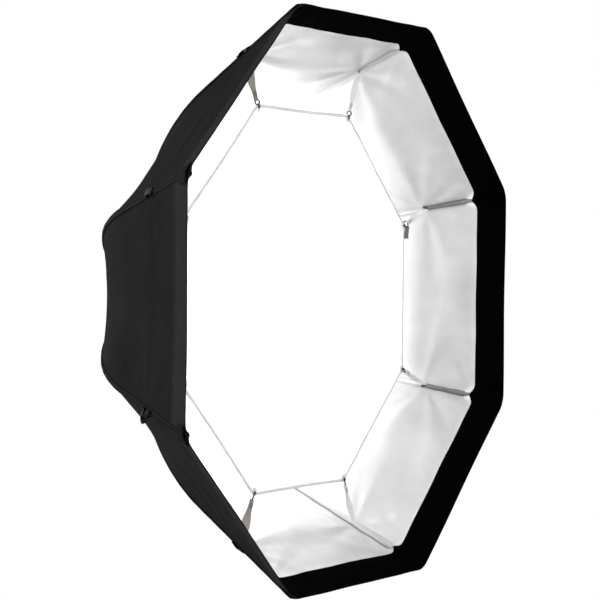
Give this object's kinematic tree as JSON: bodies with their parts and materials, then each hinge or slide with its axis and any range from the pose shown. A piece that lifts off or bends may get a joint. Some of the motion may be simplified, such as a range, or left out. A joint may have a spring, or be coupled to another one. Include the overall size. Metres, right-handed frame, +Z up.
{
  "type": "studio softbox",
  "caption": "Octagonal folding studio softbox: black cover with silver lining on hinged ribs, inner diffuser on straps, turning mount ring with lock knob.",
  "frame": {"origin": "centre of the light opening on the seat face of the rear mount", "axes": "+Y rearwards out of the light mount, the open front faces -Y, +Z up"},
  "size_m": [1.1086, 0.5621, 1.1086],
  "materials": {
    "mount_metal": "satin",
    "steel_fastener": "satin",
    "plunger": "satin",
    "ring_black": "satin",
    "liner": "matte",
    "collar": "matte",
    "knob": "matte",
    "knuckle": "satin",
    "rib_rod": "satin",
    "cover_cloth": "matte",
    "webbing": "matte",
    "diffuser_cloth": "matte"
  },
  "bodies": {
    "mount": {"mount_insert": "mount_metal", "insert_screws": "steel_fastener", "carrier_ring": "mount_metal", "retainer_ring": "ring_black", "retainer_screws": "steel_fastener"},
    "ring": {"speed_ring": "ring_black", "friction_liner": "liner", "hinge_pins": "steel_fastener", "detent_plungers": "plunger", "rear_collar": "collar"},
    "knob": {"lock_knob": "knob", "knob_stud": "steel_fastener"},
    "fold_1": {"knuckle_1": "knuckle", "rib_1": "rib_rod"},
    "pleat_1a": {"panel_1a": "cover_cloth"},
    "pleat_1b": {"panel_1b": "cover_cloth"},
    "baffle_1": {"strap_1": "webbing", "diffuser_1": "diffuser_cloth"},
    "fold_2": {"knuckle_2": "knuckle", "rib_2": "rib_rod"},
    "pleat_2a": {"panel_2a": "cover_cloth"},
    "pleat_2b": {"panel_2b": "cover_cloth"},
    "baffle_2": {"strap_2": "webbing", "diffuser_2": "diffuser_cloth"},
    "fold_3": {"knuckle_3": "knuckle", "rib_3": "rib_rod"},
    "pleat_3a": {"panel_3a": "cover_cloth"},
    "pleat_3b": {"panel_3b": "cover_cloth"},
    "baffle_3": {"strap_3": "webbing", "diffuser_3": "diffuser_cloth"},
    "fold_4": {"knuckle_4": "knuckle", "rib_4": "rib_rod"},
    "pleat_4a": {"panel_4a": "cover_cloth"},
    "pleat_4b": {"panel_4b": "cover_cloth"},
    "baffle_4": {"strap_4": "webbing", "diffuser_4": "diffuser_cloth"},
    "fold_5": {"knuckle_5": "knuckle", "rib_5": "rib_rod"},
    "pleat_5a": {"panel_5a": "cover_cloth"},
    "pleat_5b": {"panel_5b": "cover_cloth"},
    "baffle_5": {"strap_5": "webbing", "diffuser_5": "diffuser_cloth"},
    "fold_6": {"knuckle_6": "knuckle", "rib_6": "rib_rod"},
    "pleat_6a": {"panel_6a": "cover_cloth"},
    "pleat_6b": {"panel_6b": "cover_cloth"},
    "baffle_6": {"strap_6": "webbing", "diffuser_6": "diffuser_cloth"},
    "fold_7": {"knuckle_7": "knuckle", "rib_7": "rib_rod"},
    "pleat_7a": {"panel_7a": "cover_cloth"},
    "pleat_7b": {"panel_7b": "cover_cloth"},
    "baffle_7": {"strap_7": "webbing", "diffuser_7": "diffuser_cloth"},
    "fold_8": {"knuckle_8": "knuckle", "rib_8": "rib_rod"},
    "pleat_8a": {"panel_8a": "cover_cloth"},
    "pleat_8b": {"panel_8b": "cover_cloth"},
    "baffle_8": {"strap_8": "webbing", "diffuser_8": "diffuser_cloth"}
  },
  "joints": [
    {"name": "ring_turn", "type": "hinge", "parent": "mount", "child": "ring", "pos_m": [0, -0.015, 0], "axis": [0, 1, 0], "continuous": true},
    {"name": "knob_turn", "type": "hinge", "parent": "ring", "child": "knob", "pos_m": [0.099, -0.0072, 0], "axis": [1, 0, 0], "range_deg": [0, 270]},
    {"name": "fold_1", "type": "hinge", "parent": "ring", "child": "fold_1", "pos_m": [0.06919, -0.019, 0.02866], "axis": [0.3827, 0, -0.9239], "range_deg": [0, 44.72]},
    {"name": "pleat_1a", "type": "hinge", "parent": "fold_1", "child": "pleat_1a", "pos_m": [0.06919, -0.019, 0.02866], "axis": [-0.0113, 0.1513, 0.9884], "range_deg": [0, 23.77], "deforming": ["panel_1a"]},
    {"name": "pleat_1b", "type": "hinge", "parent": "fold_1", "child": "pleat_1b", "pos_m": [0.06919, -0.019, 0.02866], "axis": [-0.691, -0.1513, 0.7069], "range_deg": [0, 23.77], "deforming": ["panel_1b"]},
    {"name": "baffle_1", "type": "hinge", "parent": "fold_1", "child": "baffle_1", "pos_m": [0.46408, -0.40056, 0.19223], "axis": [0.3827, 0, -0.9239], "range_deg": [0, 32.63], "deforming": ["diffuser_1"]},
    {"name": "fold_2", "type": "hinge", "parent": "ring", "child": "fold_2", "pos_m": [0.02866, -0.019, 0.06919], "axis": [0.9239, 0, -0.3827], "range_deg": [0, 44.73]},
    {"name": "pleat_2a", "type": "hinge", "parent": "fold_2", "child": "pleat_2a", "pos_m": [0.02866, -0.019, 0.06919], "axis": [-0.7069, 0.1513, 0.691], "range_deg": [0, 23.77], "deforming": ["panel_2a"]},
    {"name": "pleat_2b", "type": "hinge", "parent": "fold_2", "child": "pleat_2b", "pos_m": [0.02866, -0.019, 0.06919], "axis": [-0.9884, -0.1513, 0.0113], "range_deg": [0, 23.77], "deforming": ["panel_2b"]},
    {"name": "baffle_2", "type": "hinge", "parent": "fold_2", "child": "baffle_2", "pos_m": [0.19223, -0.40056, 0.46408], "axis": [0.9239, 0, -0.3827], "range_deg": [0, 32.63], "deforming": ["diffuser_2"]},
    {"name": "fold_3", "type": "hinge", "parent": "ring", "child": "fold_3", "pos_m": [-0.02866, -0.019, 0.06919], "axis": [0.9239, 0, 0.3827], "range_deg": [0, 44.73]},
    {"name": "pleat_3a", "type": "hinge", "parent": "fold_3", "child": "pleat_3a", "pos_m": [-0.02866, -0.019, 0.06919], "axis": [-0.9884, 0.1513, -0.0113], "range_deg": [0, 23.77], "deforming": ["panel_3a"]},
    {"name": "pleat_3b", "type": "hinge", "parent": "fold_3", "child": "pleat_3b", "pos_m": [-0.02866, -0.019, 0.06919], "axis": [-0.7069, -0.1513, -0.691], "range_deg": [0, 23.77], "deforming": ["panel_3b"]},
    {"name": "baffle_3", "type": "hinge", "parent": "fold_3", "child": "baffle_3", "pos_m": [-0.19223, -0.40056, 0.46408], "axis": [0.9239, 0, 0.3827], "range_deg": [0, 32.63], "deforming": ["diffuser_3"]},
    {"name": "fold_4", "type": "hinge", "parent": "ring", "child": "fold_4", "pos_m": [-0.06919, -0.019, 0.02866], "axis": [0.3827, 0, 0.9239], "range_deg": [0, 44.73]},
    {"name": "pleat_4a", "type": "hinge", "parent": "fold_4", "child": "pleat_4a", "pos_m": [-0.06919, -0.019, 0.02866], "axis": [-0.691, 0.1513, -0.7069], "range_deg": [0, 23.77], "deforming": ["panel_4a"]},
    {"name": "pleat_4b", "type": "hinge", "parent": "fold_4", "child": "pleat_4b", "pos_m": [-0.06919, -0.019, 0.02866], "axis": [-0.0113, -0.1513, -0.9884], "range_deg": [0, 23.77], "deforming": ["panel_4b"]},
    {"name": "baffle_4", "type": "hinge", "parent": "fold_4", "child": "baffle_4", "pos_m": [-0.46408, -0.40056, 0.19223], "axis": [0.3827, 0, 0.9239], "range_deg": [0, 32.63], "deforming": ["diffuser_4"]},
    {"name": "fold_5", "type": "hinge", "parent": "ring", "child": "fold_5", "pos_m": [-0.06919, -0.019, -0.02866], "axis": [-0.3827, 0, 0.9239], "range_deg": [0, 44.73]},
    {"name": "pleat_5a", "type": "hinge", "parent": "fold_5", "child": "pleat_5a", "pos_m": [-0.06919, -0.019, -0.02866], "axis": [0.0113, 0.1513, -0.9884], "range_deg": [0, 23.77], "deforming": ["panel_5a"]},
    {"name": "pleat_5b", "type": "hinge", "parent": "fold_5", "child": "pleat_5b", "pos_m": [-0.06919, -0.019, -0.02866], "axis": [0.691, -0.1513, -0.7069], "range_deg": [0, 23.77], "deforming": ["panel_5b"]},
    {"name": "baffle_5", "type": "hinge", "parent": "fold_5", "child": "baffle_5", "pos_m": [-0.46408, -0.40056, -0.19223], "axis": [-0.3827, 0, 0.9239], "range_deg": [0, 32.63], "deforming": ["diffuser_5"]},
    {"name": "fold_6", "type": "hinge", "parent": "ring", "child": "fold_6", "pos_m": [-0.02866, -0.019, -0.06919], "axis": [-0.9239, 0, 0.3827], "range_deg": [0, 44.73]},
    {"name": "pleat_6a", "type": "hinge", "parent": "fold_6", "child": "pleat_6a", "pos_m": [-0.02866, -0.019, -0.06919], "axis": [0.7069, 0.1513, -0.691], "range_deg": [0, 23.77], "deforming": ["panel_6a"]},
    {"name": "pleat_6b", "type": "hinge", "parent": "fold_6", "child": "pleat_6b", "pos_m": [-0.02866, -0.019, -0.06919], "axis": [0.9884, -0.1513, -0.0113], "range_deg": [0, 23.77], "deforming": ["panel_6b"]},
    {"name": "baffle_6", "type": "hinge", "parent": "fold_6", "child": "baffle_6", "pos_m": [-0.19223, -0.40056, -0.46408], "axis": [-0.9239, 0, 0.3827], "range_deg": [0, 32.63], "deforming": ["diffuser_6"]},
    {"name": "fold_7", "type": "hinge", "parent": "ring", "child": "fold_7", "pos_m": [0.02866, -0.019, -0.06919], "axis": [-0.9239, 0, -0.3827], "range_deg": [0, 44.73]},
    {"name": "pleat_7a", "type": "hinge", "parent": "fold_7", "child": "pleat_7a", "pos_m": [0.02866, -0.019, -0.06919], "axis": [0.9884, 0.1513, 0.0113], "range_deg": [0, 23.77], "deforming": ["panel_7a"]},
    {"name": "pleat_7b", "type": "hinge", "parent": "fold_7", "child": "pleat_7b", "pos_m": [0.02866, -0.019, -0.06919], "axis": [0.7069, -0.1513, 0.691], "range_deg": [0, 23.77], "deforming": ["panel_7b"]},
    {"name": "baffle_7", "type": "hinge", "parent": "fold_7", "child": "baffle_7", "pos_m": [0.19223, -0.40056, -0.46408], "axis": [-0.9239, 0, -0.3827], "range_deg": [0, 32.63], "deforming": ["diffuser_7"]},
    {"name": "fold_8", "type": "hinge", "parent": "ring", "child": "fold_8", "pos_m": [0.06919, -0.019, -0.02866], "axis": [-0.3827, 0, -0.9239], "range_deg": [0, 44.73]},
    {"name": "pleat_8a", "type": "hinge", "parent": "fold_8", "child": "pleat_8a", "pos_m": [0.06919, -0.019, -0.02866], "axis": [0.691, 0.1513, 0.7069], "range_deg": [0, 23.77], "deforming": ["panel_8a"]},
    {"name": "pleat_8b", "type": "hinge", "parent": "fold_8", "child": "pleat_8b", "pos_m": [0.06919, -0.019, -0.02866], "axis": [0.0113, -0.1513, 0.9884], "range_deg": [0, 23.77], "deforming": ["panel_8b"]},
    {"name": "baffle_8", "type": "hinge", "parent": "fold_8", "child": "baffle_8", "pos_m": [0.46408, -0.40056, -0.19223], "axis": [-0.3827, 0, -0.9239], "range_deg": [0, 32.63], "deforming": ["diffuser_8"]}
  ],
  "couplings": [
    {"joint": "pleat_1a", "follows": "fold_1", "ratio": 0.53119},
    {"joint": "pleat_1b", "follows": "fold_1", "ratio": 0.53119},
    {"joint": "baffle_1", "follows": "fold_1", "ratio": 0.72935},
    {"joint": "fold_2", "follows": "fold_1", "ratio": 1},
    {"joint": "pleat_2a", "follows": "fold_1", "ratio": 0.53119},
    {"joint": "pleat_2b", "follows": "fold_1", "ratio": 0.53119},
    {"joint": "baffle_2", "follows": "fold_1", "ratio": 0.72935},
    {"joint": "fold_3", "follows": "fold_1", "ratio": 1},
    {"joint": "pleat_3a", "follows": "fold_1", "ratio": 0.53119},
    {"joint": "pleat_3b", "follows": "fold_1", "ratio": 0.53119},
    {"joint": "baffle_3", "follows": "fold_1", "ratio": 0.72935},
    {"joint": "fold_4", "follows": "fold_1", "ratio": 1},
    {"joint": "pleat_4a", "follows": "fold_1", "ratio": 0.53119},
    {"joint": "pleat_4b", "follows": "fold_1", "ratio": 0.53119},
    {"joint": "baffle_4", "follows": "fold_1", "ratio": 0.72935},
    {"joint": "fold_5", "follows": "fold_1", "ratio": 1},
    {"joint": "pleat_5a", "follows": "fold_1", "ratio": 0.53119},
    {"joint": "pleat_5b", "follows": "fold_1", "ratio": 0.53119},
    {"joint": "baffle_5", "follows": "fold_1", "ratio": 0.72935},
    {"joint": "fold_6", "follows": "fold_1", "ratio": 1},
    {"joint": "pleat_6a", "follows": "fold_1", "ratio": 0.53119},
    {"joint": "pleat_6b", "follows": "fold_1", "ratio": 0.53119},
    {"joint": "baffle_6", "follows": "fold_1", "ratio": 0.72935},
    {"joint": "fold_7", "follows": "fold_1", "ratio": 1},
    {"joint": "pleat_7a", "follows": "fold_1", "ratio": 0.53119},
    {"joint": "pleat_7b", "follows": "fold_1", "ratio": 0.53119},
    {"joint": "baffle_7", "follows": "fold_1", "ratio": 0.72935},
    {"joint": "fold_8", "follows": "fold_1", "ratio": 1},
    {"joint": "pleat_8a", "follows": "fold_1", "ratio": 0.53119},
    {"joint": "pleat_8b", "follows": "fold_1", "ratio": 0.53119},
    {"joint": "baffle_8", "follows": "fold_1", "ratio": 0.72935}
  ]
}
